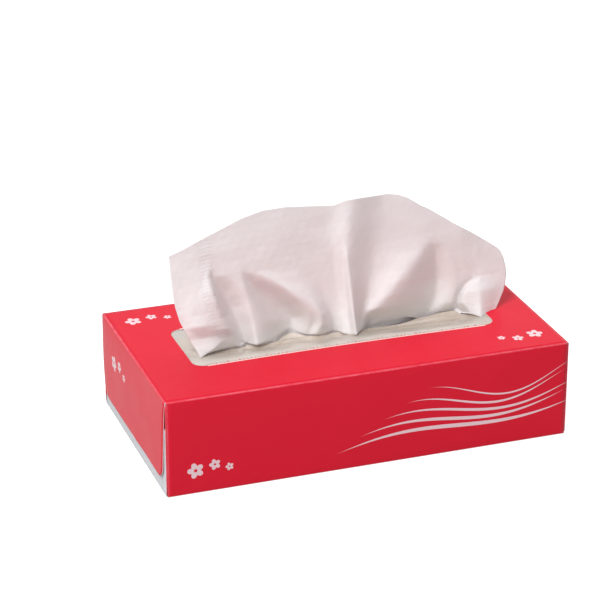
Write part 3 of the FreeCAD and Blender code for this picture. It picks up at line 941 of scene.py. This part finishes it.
@dataclass
class WindowFilm:
    """The film under the opening, in two halves that part at the slit and meet past its ends."""

    carton: Carton
    slit: Array
    thickness: float = 0.04
    columns: int = 240
    rows: int = 40
    front_push: float = 0.85
    border: float = 6.0
    folds: Ripples = Ripples(21, 30.0, 0.22)
    crinkles: Ripples = Ripples(22, 12.0, 0.03)

    def lip(self, x: Array, face: int) -> Array:
        """Place across of the front (-1) or back (1) lip, pushed back where the sheet leans."""
        push = np.interp(x, self.slit[:, 0], self.slit[:, 1], left=0.0, right=0.0)
        share = 1.0 if face > 0 else self.front_push
        return self.carton.opening.lip(x, front=face < 0) + push * share

    def build(self, finish: bpy.types.Material) -> None:
        """Make the film.

        Args:
            finish: its material.
        """
        hole = self.carton.opening
        reach_x = hole.half_length + hole.lap
        reach_y = hole.half_width + hole.lap
        x = np.linspace(-reach_x, reach_x, self.columns)[:, None]
        share = np.linspace(0.0, 1.0, self.rows) ** 1.3
        sheets = Sheets()
        for face in (-1, 1):
            lip = self.lip(x, face)
            y = lip + (face * reach_y - lip) * share
            inside = smoothstep(hole.half_width - np.abs(y), 0.0, self.border)
            inside = inside * smoothstep(hole.half_length - np.abs(x), 0.0, self.border)
            uneven = self.folds(x * 0.4, y) + self.crinkles(x, y)
            level = hole.film_level(x, y) + self.carton.top_rise(x, y) + inside * uneven
            sheets.add(x, y, level, flip=face < 0)
        piece = sheets.make("window_film_sheet", [finish])
        thicken(piece, self.thickness, -1.0)
        ride(piece, "window_film")
        2 * reach_y * MM


@dataclass
class TissueStack:
    """The stack of interfolded sheets: a closed loaf whose long sides show the folds."""

    low: Vector
    high: Vector
    nose: float = 5.0
    fold_pitch: float = 0.9
    fold_depth: float = 0.28
    top_ripples: Ripples = Ripples(31, 60.0, 0.15)
    top_drop: float = 0.3
    side_ripples: Ripples = Ripples(32, 50.0, 0.25)

    def build(self, finish: bpy.types.Material) -> None:
        """Make the stack: its section carried along the box, each end closed by shrinking rings.

        Args:
            finish: its material.
        """
        half_width = (self.high.y - self.low.y) / 2 / MM
        half_length = (self.high.x - self.low.x) / 2 / MM
        bottom, top = self.low.z / MM, self.high.z / MM
        radius = self.nose
        shape = (half_width, bottom, top, radius)
        side = np.arange(bottom + radius, top - radius, self.fold_pitch / 4)[1:]
        flat = np.linspace(-half_width + radius, half_width - radius, 30)[1:-1]
        inset = self.fold_depth * (0.5 + 0.5 * np.cos(side / self.fold_pitch * FULL_TURN))
        y, z = np.concatenate([
            section_corner(*shape, 270), together(half_width - inset, side, axis=0),
            section_corner(*shape, 0), together(flat[::-1], top, axis=0),
            section_corner(*shape, 90), together(inset - half_width, side, axis=0)[:, ::-1],
            section_corner(*shape, 180), together(flat, bottom, axis=0),
        ], axis=1)
        x = np.linspace(-half_length, half_length, 50)[:, None]
        on_top = smoothstep(z, top - 1.0, top)
        z = z + on_top * (self.top_ripples(x, y) - self.top_drop)
        y = y - np.sign(y) * np.abs(self.side_ripples(x, z)) * (1 - on_top)
        body = together(x, y, z)
        shrink = np.array([0.66, 0.33, 0.0])[:, None, None]
        caps = []
        for ring in (body[0], body[-1]):
            centre = np.array([ring[0, 0], 0.0, (bottom + top) / 2])
            caps.append(centre + (ring - centre) * shrink)
        whole = np.concatenate([caps[0][::-1], body, caps[1]])
        sheets = Sheets()
        sheets.add(*np.moveaxis(whole, -1, 0), ring=True, flip=True)
        piece = sheets.make("tissue_stack_sheets", [finish])
        close_poles(piece)
        ride(piece, "tissue_stack")


@dataclass(frozen=True)
class FoldLine:
    """One ridge or valley of the raised sheet, followed from its foot up to the free edge.

    crisp is 1 for a sharp crease and 0 for a rounded one. Each spot holds its level, its place
    along the box and its depth, in millimetres: level and place as they appear on the upright plane
    through the slit, and the depth behind (+) or before (-) that plane.
    """

    crisp: float
    spots: tuple[Triple, ...]

    def at(self, level: Array) -> tuple[Array, Array]:
        """Place and depth of the line at each level."""
        levels, places, depths = np.array(self.spots).T
        return np.interp(level, levels, places), np.interp(level, levels, depths)


FOLD_LINES = (
    FoldLine(0.0, (  # left edge
        (48.1, -75.6, -13.5), (59.0, -81.1, -9.0), (66.0, -84.9, -8.0), (77.7, -89.1, -5.0),
        (87.2, -90.5, -3.2), (109.3, -92.3, 0.5),
    )),
    FoldLine(0.1, (  # soft ridge left of the first pleat
        (52.3, -68.2, -11.0), (59.5, -72.6, -8.5), (66.5, -76.5, -11.0), (73.4, -79.7, -8.0),
        (83.1, -77.8, -5.4), (94.1, -73.8, -2.2), (103.6, -71.4, -0.4), (115.8, -68.4, 0.3),
    )),
    FoldLine(0.95, (  # edge of the first pleat
        (58.3, -56.8, -3.0), (62.9, -60.2, -8.0), (70.6, -64.0, -8.0), (79.7, -66.7, -7.6),
        (87.0, -68.8, -6.0), (94.8, -70.7, -2.8), (103.4, -70.3, -0.3), (116.5, -65.1, 0.4),
    )),
    FoldLine(0.1, (  # bottom of the first pleat
        (53.1, -50.0, 4.0), (64.3, -53.4, 4.6), (75.5, -57.8, 4.4), (85.6, -62.7, 2.8),
        (94.5, -68.5, -0.4), (103.0, -66.9, 0.0), (117.7, -61.7, 0.4),
    )),
    FoldLine(0.2, (  # second ridge
        (51.0, -43.8, -7.0), (63.7, -45.4, -4.6), (75.9, -48.1, -3.2), (86.2, -50.9, -2.0),
        (94.1, -53.3, -0.9), (102.2, -53.0, 0.0), (120.3, -51.1, 0.5),
    )),
    FoldLine(0.2, (  # second pleat, lower border
        (58.5, -24.2, 8.5), (64.1, -23.6, 9.0), (72.5, -30.5, 8.0), (81.7, -39.6, 5.2),
        (89.2, -46.9, 1.8), (94.5, -51.4, -0.5), (102.6, -47.4, 0.2), (121.7, -44.4, 0.5),
    )),
    FoldLine(0.3, (  # second pleat, upper border
        (53.3, -15.0, 2.5), (58.8, -12.1, -1.0), (66.1, -12.7, -4.6), (73.3, -17.3, -5.0),
        (80.8, -24.8, -3.9), (88.7, -35.0, -2.0), (94.2, -43.5, -0.5), (102.4, -37.2, 0.2),
        (124.8, -33.2, 0.6),
    )),
    FoldLine(0.1, (  # third ridge
        (53.0, -9.2, -3.5), (57.4, -6.3, -5.5), (64.0, -6.9, -6.0), (70.6, -11.0, -5.2),
        (77.4, -17.3, -3.6), (85.5, -24.8, -1.5), (93.3, -30.4, -0.2), (101.1, -27.6, 0.5),
        (125.9, -23.6, 0.6),
    )),
    FoldLine(0.1, (  # shallow valley
        (53.3, 1.3, 2.0), (60.6, 0.1, 1.5), (69.4, -2.8, 0.8), (79.4, -6.4, 0.5), (90.5, -9.9, 0.8),
        (108.0, -10.5, 1.0), (127.4, -8.9, 0.8),
    )),
    FoldLine(0.6, (  # small crease
        (50.7, 6.6, -6.0), (58.5, 6.5, -3.5), (65.2, 5.3, -1.0), (73.3, 2.9, 0.4), (89.0, 0.5, 0.8),
        (106.8, -1.3, 1.0), (126.3, 0.3, 1.0),
    )),
    FoldLine(0.3, (  # valley before the sharp ridge
        (49.5, 10.1, -7.0), (59.3, 8.9, -3.5), (70.2, 8.2, -1.5), (88.3, 5.7, -1.2),
        (106.2, 3.3, -1.0), (127.1, 2.5, -0.5),
    )),
    FoldLine(0.95, (  # sharp ridge
        (48.3, 14.3, -14.7), (57.6, 12.4, -12.0), (69.9, 10.5, -8.5), (85.0, 8.6, -6.0),
        (99.8, 7.4, -4.5), (114.3, 7.8, -3.8), (127.2, 10.6, -3.0),
    )),
    FoldLine(0.1, (  # valley after the sharp ridge
        (52.2, 16.6, -6.0), (58.1, 17.7, -2.0), (68.5, 19.9, 0.6), (85.9, 23.2, 2.2),
        (103.2, 25.9, 3.2), (117.5, 28.0, 3.2), (128.8, 30.1, 3.0),
    )),
    FoldLine(0.1, (  # slanting ridge
        (56.5, 20.1, 5.0), (62.3, 25.9, -3.0), (69.2, 32.3, -3.8), (77.2, 38.6, -3.0),
        (85.8, 45.5, -1.6), (94.5, 51.2, 0.2), (104.2, 54.0, 1.5), (119.9, 50.1, 2.0),
    )),
    FoldLine(0.95, (  # long valley
        (52.4, 52.2, 10.0), (58.2, 58.0, 8.0), (65.7, 60.5, 8.0), (74.7, 60.9, 8.0),
        (85.5, 60.3, 5.5), (97.6, 58.8, 1.5), (104.7, 58.7, 1.5), (114.6, 59.6, 2.0),
    )),
    FoldLine(0.2, (  # ridge right of the long valley
        (53.1, 64.2, 9.5), (59.5, 70.6, 3.0), (69.3, 73.3, 1.8), (82.2, 71.8, 1.4),
        (94.6, 67.8, 1.2), (103.8, 65.8, 1.2), (110.1, 66.8, 2.0),
    )),
    FoldLine(0.8, (  # hollow round the lobe
        (51.9, 76.2, 7.0), (59.0, 73.9, 5.5), (65.5, 75.2, 5.5), (69.8, 78.7, 3.0),
        (73.7, 83.4, 0.8), (82.2, 85.0, 0.5), (97.9, 83.2, 1.2),
    )),
    FoldLine(0.8, (  # near side of the lobe
        (52.1, 81.7, -7.0), (58.6, 76.3, -4.0), (64.6, 77.3, -3.5), (68.3, 80.9, -2.2),
        (71.7, 84.7, -0.2), (80.8, 86.2, 0.5), (96.4, 85.7, 1.3),
    )),
    FoldLine(0.6, (  # fold of the lobe
        (48.3, 88.5, -12.7), (57.0, 87.9, -9.0), (65.0, 87.0, -6.0), (69.3, 86.3, -2.8),
        (73.5, 86.7, -0.3), (81.7, 88.6, 0.7), (94.0, 90.0, 1.6),
    )),
    FoldLine(0.0, (  # right edge
        (50.3, 96.4, -7.0), (57.7, 99.7, -4.0), (65.8, 102.5, -2.0), (73.1, 102.8, -0.3),
        (78.6, 102.0, 0.8), (88.2, 98.0, 1.8),
    )),
)

# Outline of the raised sheet, as pairs of place and level, and its columns' places in the slit

HEM_LINE = (
    (-75.6, 48.1), (-68.2, 52.6), (-63.1, 56.9), (-57.4, 58.7), (-50.0, 53.1), (-44.3, 51.4),
    (-38.6, 52.9), (-32.3, 55.8), (-24.8, 59.2), (-19.6, 54.9), (-15.0, 52.7), (-9.2, 53.0),
    (-3.3, 54.2), (1.3, 53.3), (6.6, 50.4), (10.1, 49.2), (14.0, 48.4), (16.6, 52.2),
    (20.1, 56.2), (25.9, 57.2), (36.6, 55.3), (42.6, 55.5), (52.2, 52.4), (59.3, 53.5),
    (67.2, 53.1), (75.0, 52.2), (81.7, 52.1), (88.5, 48.2), (92.1, 50.0), (96.4, 50.3),
)
FREE_EDGE = (
    (-92.5, 109.6), (-84.5, 112.5), (-75.1, 116.6), (-63.9, 121.1), (-52.8, 125.7),
    (-40.4, 128.9), (-27.5, 129.3), (-13.4, 128.0), (0.3, 126.7), (3.7, 127.8), (6.5, 128.6),
    (15.1, 129.0), (23.8, 129.2), (31.3, 129.5), (37.1, 128.2), (42.4, 125.9), (45.9, 123.6),
    (50.1, 120.5), (54.8, 117.9), (62.0, 113.1), (71.1, 106.7), (80.2, 101.0), (89.4, 94.7),
    (96.8, 89.3), (98.7, 87.2),
)
LEFT_EDGE = (
    (-75.6, 48.1), (-79.5, 55.2), (-83.2, 62.5), (-87.0, 70.7), (-89.3, 78.9), (-90.3, 84.3),
    (-91.0, 90.7), (-91.8, 99.5), (-92.5, 109.6),
)
RIGHT_EDGE = (
    (96.4, 50.3), (98.3, 54.2), (100.0, 58.3), (101.7, 62.9), (102.6, 67.7), (103.0, 73.1),
    (102.3, 78.0), (100.7, 83.3), (98.7, 87.2),
)
NIP_PLACES = ((-1.0, -76.0), (0.75, 74.5), (1.0, 80.0))


def smoothed(grid: Array, passes: int) -> Array:
    """The grid with its corners rounded: each pass mixes every value with its neighbours' mean."""
    for _ in range(passes):
        padded = np.pad(grid, 1, mode="edge")
        rows = 0.25 * padded[:-2] + 0.5 * padded[1:-1] + 0.25 * padded[2:]
        grid = 0.25 * rows[:, :-2] + 0.5 * rows[:, 1:-1] + 0.25 * rows[:, 2:]
    return grid


@dataclass
class RaisedTissue:
    """The sheet that stands half out of the slit, its lower half folded flat on the stack."""

    carton: Carton
    stack_top: float
    stack_half_length: float
    stack_half_width: float
    folds: tuple[FoldLine, ...] = FOLD_LINES
    eye: Triple = tuple(value / MM for value in EYE)
    lift: float = 0.4
    tuck: float = 0.95
    turn: float = 0.45
    tucked_end: float = 6.0
    fold_gap: float = 1.2
    bend: float = 1.0
    gather_reach: float = 26.0
    push_reach: float = 22.0
    deepest_push: float = 13.0
    thickness: float = 0.2
    columns: int = 270
    raised_rows: int = 120
    foot_shares: tuple[float, ...] = (0.04, 0.15, 0.32, 0.5, 0.68, 0.84, 0.95)
    smooth_levels: Pair = (93.0, 108.0)
    smooth_share: float = 0.9
    broad: Ripples = Ripples(41, 46.0, 0.22)
    small: Ripples = Ripples(42, 17.0, 0.07)
    fine: Ripples = Ripples(43, 7.0, 0.035)

    def depth(self, place: Array, level: Array) -> Array:
        """How far behind the plane of the slit the sheet lies.

        Between two neighbouring fold lines the depth runs from one line's to the next as a cubic
        whose slope at each end is the mean slope times that line's crispness.
        """
        lines = [(fold.crisp, *fold.at(level)) for fold in self.folds]
        total = lines[0][2].copy()
        for (crisp, start, first), (next_crisp, stop, last) in zip(lines[:-1], lines[1:]):
            share = np.clip((place - start) / np.maximum(stop - start, 0.3), 0.0, 1.0)
            square, cube = share ** 2, share ** 3
            rise = 3 * square - 2 * cube
            rise = rise + (cube - 2 * square + share) * crisp + (cube - square) * next_crisp
            total = total + (last - first) * rise
        return total

    def seen(self, place: Array, level: Array, depth: Array) -> Array:
        """Points that lie at these depths on the sight lines through places and levels."""
        eye_x, eye_y, eye_z = self.eye
        share = -depth / eye_y
        return together(place + share * (place - eye_x), depth, level + share * (level - eye_z))

    def outline(self, share: Array, level: Array) -> Array:
        """Place of a column, a share of the way from the left edge to the right one, at a level."""
        edges = (np.array(edge).T for edge in (LEFT_EDGE, RIGHT_EDGE))
        left, right = (np.interp(level, levels, places) for places, levels in edges)
        return left + (right - left) * share

    def standing(self) -> Array:
        """The raised part, from its hem on the film to its free edge.

        Levels run evenly from the hem line to the free edge in every column. Ripples of three
        sizes are laid over the depth that the fold lines give, the larger ones above the hem only.
        """
        share = np.linspace(0.0, 1.0, self.columns)
        hem_x, hem_z = np.array(HEM_LINE).T
        edge_x, edge_z = np.array(FREE_EDGE).T
        place = hem_x[0] + (hem_x[-1] - hem_x[0]) * share
        for _ in range(4):
            hem = np.interp(place, hem_x, hem_z)
            place = self.outline(share, hem)
        top = np.interp(edge_x[0] + (edge_x[-1] - edge_x[0]) * share, edge_x, edge_z)
        up = np.linspace(0.0, 1.0, self.raised_rows)[:, None]
        level = hem + (top - hem) * up
        place = self.outline(share, level)
        crisp = smoothed(self.depth(place, level), 2)
        soft = smoothed(crisp, 40)
        softened = smoothstep(level, *self.smooth_levels) * self.smooth_share
        depth = crisp + (soft - crisp) * softened
        uneven = self.broad(place, level) + self.small(place, level)
        uneven = uneven * smoothstep(up, 0.0, 0.12) + self.fine(place, level)
        return self.seen(place, level, depth + uneven)

    def cover(self, x: Array, y: Array) -> Array:
        """What the sheet lies on round the slit: the film, or the top panel past the opening."""
        hole = self.carton.opening
        ramp = smoothstep(np.abs(x), hole.half_length - 7.0, hole.half_length + 0.5)
        level = hole.film_level(x, y) + self.carton.top_rise(x, y)
        return level + ramp * (self.carton.board + 0.1)

    def pushed(self, hem_y: Array) -> Array:
        """How far back the sheet comes out of the slit in each column: under its hem, softened."""
        back = np.clip(hem_y + 1.0, 0.0, self.deepest_push)
        width = max(3, self.columns // 54)
        kernel = np.hanning(2 * width + 1)
        return np.convolve(np.pad(back, width, mode="edge"), kernel / kernel.sum(), mode="valid")

    def grid(self) -> tuple[Array, Array, Array]:
        """Points of the whole sheet, row by row from its tucked end to its free edge.

        Returns:
            The points, rows by columns by 3; the flat places of the same points on the sheet; and
            the line of the slit as pairs of place along the box and push to the back.
        """
        across = np.linspace(-1.0, 1.0, self.columns)
        nip_x = np.interp(across, *np.array(NIP_PLACES).T)
        flat_x = across * self.stack_half_length
        standing = self.standing()
        foot_x, foot_y, foot_z = standing[0].T
        push = self.pushed(foot_y)
        turn, bend = self.turn, self.bend
        lower = self.stack_top + self.tuck
        upper = lower + 2 * turn
        fold_y = self.stack_half_width - turn - self.fold_gap
        rows = [together(flat_x, y, lower) for y in np.linspace(self.tucked_end, fold_y, 12)]
        for angle in np.radians(np.linspace(-90.0, 90.0, 9)[1:]):
            level = lower + turn + turn * math.sin(angle)
            rows.append(together(flat_x, fold_y + turn * math.cos(angle), level))
        for y in np.linspace(fold_y, bend, 16)[1:]:
            x = nip_x + (flat_x - nip_x) * smoothstep(y, bend, self.gather_reach)
            rows.append(together(x, y + push * (1.0 - smoothstep(y, bend, self.push_reach)), upper))
        for angle in np.radians(np.linspace(90.0, 0.0, 6)[1:]):
            level = upper + 0.5 * (1 - math.cos(angle))
            rows.append(together(nip_x, push + bend * (1 - math.sin(angle)), level))
        rows.append(together(nip_x, push, self.cover(nip_x, push) - self.lift))
        foot_gap = foot_z - self.cover(foot_x, foot_y) - self.lift
        for share in self.foot_shares:
            x = nip_x + (foot_x - nip_x) * share
            y = push + (foot_y - push) * share
            above = self.lift * min(1.0, 3 * share) + foot_gap * share ** 3
            rows.append(together(x, y, self.cover(x, y) + above))
        points = np.concatenate([np.stack(rows), standing])
        steps = np.linalg.norm(np.diff(points[:, self.columns // 2], axis=0), axis=-1)
        along = np.concatenate([[0.0], np.cumsum(steps)])
        return points, together(flat_x, along[:, None]), together(nip_x, push)

    def build(self, finish: bpy.types.Material) -> Array:
        """Args:
            finish: its material.

        Returns:
            The line of the slit, for the film.
        """
        points, plan, slit = self.grid()
        sheets = Sheets()
        sheets.add(*np.moveaxis(points, -1, 0), plan=plan, flip=True)
        piece = sheets.make("raised_tissue_sheet", [finish])
        thicken(piece, self.thickness, 0.0)
        ride(piece, "raised_tissue")
        return slit


# The studio


class Ground(Enum):
    """What stands round the box: the floor below it, or the world."""

    FLOOR = "floor"
    SKY = "sky"


@dataclass(frozen=True)
class Lamp:
    """A square area lamp: its place and the length of its sides in metres, and its watts."""

    name: str
    place: Triple
    size: float
    power: float

    def build(self, target: Vector) -> None:
        """Hang the lamp, turned to its target."""
        data = bpy.data.lights.new(self.name, "AREA")
        data.size = self.size
        data.energy = self.power
        lamp = linked(self.name, data)
        lamp.location = self.place
        lamp.rotation_euler = (target - Vector(self.place)).to_track_quat("-Z", "Y").to_euler()


@dataclass
class Studio:
    """Camera, lamps, white floor and white surroundings."""

    azimuth: float = -19.4004
    elevation: float = 23.4007
    roll: float = 0.0402
    lens: float = 144.025
    sensor: float = 36.0
    sky_strength: float = 0.42
    floor_colour: float = 0.5
    floor_glow: float = 0.75
    floor_half: float = 3000.0
    floor_level: float = -0.02
    target: Triple = (0.0, 0.0, 0.05)
    lamps: tuple[Lamp, ...] = (
        Lamp("key", (-0.76, -0.64, 1.32), 0.7, 21.5),
        Lamp("back", (1.45, 0.75, 0.75), 0.9, 12.0),
    )

    def camera(self) -> None:
        """The camera: right, up and back vectors from its azimuth, elevation and roll."""
        a, e, r = (math.radians(value) for value in (self.azimuth, self.elevation, self.roll))
        back = Vector((math.sin(a) * math.cos(e), -math.cos(a) * math.cos(e), math.sin(e)))
        right = Vector((math.cos(a), math.sin(a), 0.0))
        turned_right = right * math.cos(r) + back.cross(right) * math.sin(r)
        data = bpy.data.cameras.new("camera")
        data.lens = self.lens
        data.sensor_width = self.sensor
        camera = linked("camera", data)
        axes = (turned_right, back.cross(turned_right), back)
        matrix = Matrix(axes).transposed().to_4x4()
        matrix.translation = Vector(EYE)
        camera.matrix_world = matrix
        bpy.context.scene.camera = camera

    def dress(self, shader: Shader, ground: Ground) -> Any:
        """Make the floor or the world plain white to the camera, to gloss and through film.

        Args:
            shader: the empty tree of the floor's material or of the world.
            ground: which of the two it is.

        Returns:
            The material or the world.
        """
        rays = ("Is Camera Ray", "Is Transmission Ray", "Is Glossy Ray")
        paths = [shader.node("ShaderNodeLightPath", output=ray) for ray in rays]
        seen = reduce(Value.larger, paths)
        if ground is Ground.SKY:
            inputs = {"Value": seen, "To Min": self.sky_strength, "To Max": 1.0}
            strength = shader.node("ShaderNodeMapRange", inputs=inputs)
            inputs = {"Color": WHITE, "Strength": strength}
            sky = shader.node("ShaderNodeBackground", inputs=inputs)
            return shader.finish(sky, "ShaderNodeOutputWorld")
        return shader.finish(shader.principled({
            "Base Color": (*(self.floor_colour,) * 3, 1.0),
            "Roughness": 0.9,
            "Emission Color": WHITE,
            "Emission Strength": seen * self.floor_glow,
        }))

    def floor(self) -> None:
        """A large white floor that keeps the box's shadow."""
        sheets = Sheets()
        edge = np.array([-self.floor_half, self.floor_half])
        sheets.add(edge[:, None], edge, self.floor_level)
        sheets.make("floor", [self.dress(material_tree("floor"), Ground.FLOOR)])

    def build(self) -> None:
        """Set up the whole studio."""
        scene = bpy.context.scene
        scene.view_settings.view_transform = "Standard"
        scene.world = self.dress(Shader(bpy.data.worlds.new("studio")), Ground.SKY)
        self.camera()
        self.floor()
        for lamp in self.lamps:
            lamp.build(Vector(self.target))


def main() -> None:
    """Build every piece in order."""
    logging.basicConfig(level=logging.INFO, format="%(name)s %(message)s")
    Studio().build()
    low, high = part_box("carton")
    length, width, height = ((high[axis] - low[axis]) / MM for axis in range(3))
    carton = Carton(length, width, height, Opening())
    printed = PrintedBoard(length, width, height).make()
    bare = BareBoard().make()
    pale_edge, grey_edge = from_srgb(236, 222, 222), from_srgb(222, 190, 194)
    edge = BareBoard("cut_edge", pale_edge, grey_edge, 0.85).make()
    carton.build(printed, bare, edge)
    stack_low, stack_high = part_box("tissue_stack")
    TissueStack(stack_low, stack_high).build(StackedPaper(stack_high.z / MM).make())
    tissue = RaisedTissue(carton, stack_high.z / MM, stack_high.x / MM, stack_high.y / MM)
    slit = tissue.build(TissuePaper().make())
    WindowFilm(carton, slit).build(ClearFilm(carton.opening.half_width).make())


if __name__ == "__main__":
    main()
